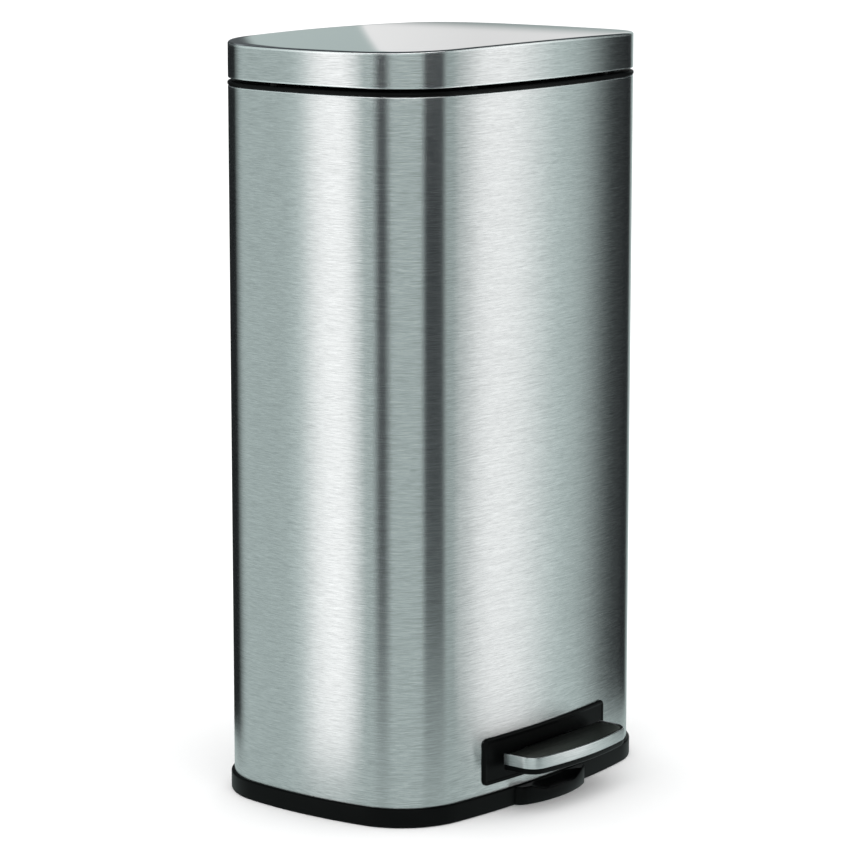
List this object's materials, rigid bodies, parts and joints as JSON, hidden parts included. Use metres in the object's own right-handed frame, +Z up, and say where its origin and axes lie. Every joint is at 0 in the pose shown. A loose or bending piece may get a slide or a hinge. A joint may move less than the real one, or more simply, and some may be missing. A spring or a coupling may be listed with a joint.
{
  "type": "pedal trash can",
  "caption": "Bowed rectangular brushed-steel pedal trash can with a black plinth, hinged bowed lid, front foot pedal and lift-out inner bucket.",
  "frame": {"origin": "centre of the whole footprint, pedal included, on the floor", "axes": "+Z up, the pedal and the front face -Y, the lid hinge is at +Y, +X to the right of someone facing the front"},
  "size_m": [0.3564, 0.2854, 0.6381],
  "materials": {
    "brushed_steel": "brushed, level grain",
    "tread_steel": "dark brushed",
    "bright_steel": "smooth drawn",
    "zinc_steel": "zinc plated, satin",
    "black_plastic": "satin, fine moulded grain",
    "bucket_plastic": "matte moulded",
    "damper_plastic": "satin moulded",
    "rubber": "matte"
  },
  "bodies": {
    "can": {"body_shell": "brushed_steel", "top_collar": "black_plastic", "base_tray": "black_plastic", "foot_pads": "rubber", "bucket_platform": "black_plastic", "platform_screws": "zinc_steel", "pedal_bezel": "black_plastic", "bezel_nuts": "zinc_steel", "axle_brackets": "zinc_steel", "bracket_screws": "zinc_steel", "pedal_axle": "bright_steel", "axle_clips": "zinc_steel", "rod_guides": "black_plastic", "guide_rivets": "zinc_steel", "hinge_bracket": "zinc_steel", "hinge_rivets": "zinc_steel", "hinge_pin": "bright_steel", "hinge_clips": "zinc_steel", "damper_cylinder": "damper_plastic", "damper_clip": "zinc_steel"},
    "pedal": {"pedal_lever": "zinc_steel", "pedal_shell": "black_plastic", "pedal_band": "brushed_steel", "pedal_tread": "tread_steel", "pedal_screws": "zinc_steel", "lever_pin": "bright_steel"},
    "rod": {"lift_rod": "bright_steel", "lower_yoke": "zinc_steel", "upper_yoke": "zinc_steel", "damper_arm": "zinc_steel", "damper_piston": "bright_steel"},
    "lid": {"lid_shell": "brushed_steel", "lid_liner": "black_plastic", "lid_bracket": "zinc_steel", "crank_pin": "bright_steel", "lid_screws": "zinc_steel", "lid_bumpers": "rubber"},
    "bucket": {"inner_bucket": "bucket_plastic"}
  },
  "joints": [
    {"name": "lid_hinge", "type": "hinge", "parent": "can", "child": "lid", "pos_m": [0, 0.1326, 0.598], "axis": [-1, 0, 0], "range_deg": [0, 78]},
    {"name": "pedal_pivot", "type": "hinge", "parent": "can", "child": "pedal", "pos_m": [0, -0.03794, 0.034], "axis": [1, 0, 0], "range_deg": [0, 10.5]},
    {"name": "rod_lift", "type": "slide", "parent": "can", "child": "rod", "axis": [0, 0, 1], "range_m": [0, 0.0277]},
    {"name": "bucket_lift", "type": "slide", "parent": "can", "child": "bucket", "axis": [0, 0, 1], "range_m": [0, 0.01]}
  ],
  "couplings": [
    {"joint": "pedal_pivot", "follows": "lid_hinge", "ratio": 0.13462},
    {"joint": "rod_lift", "follows": "lid_hinge", "m_per_rad": 0.02034}
  ]
}
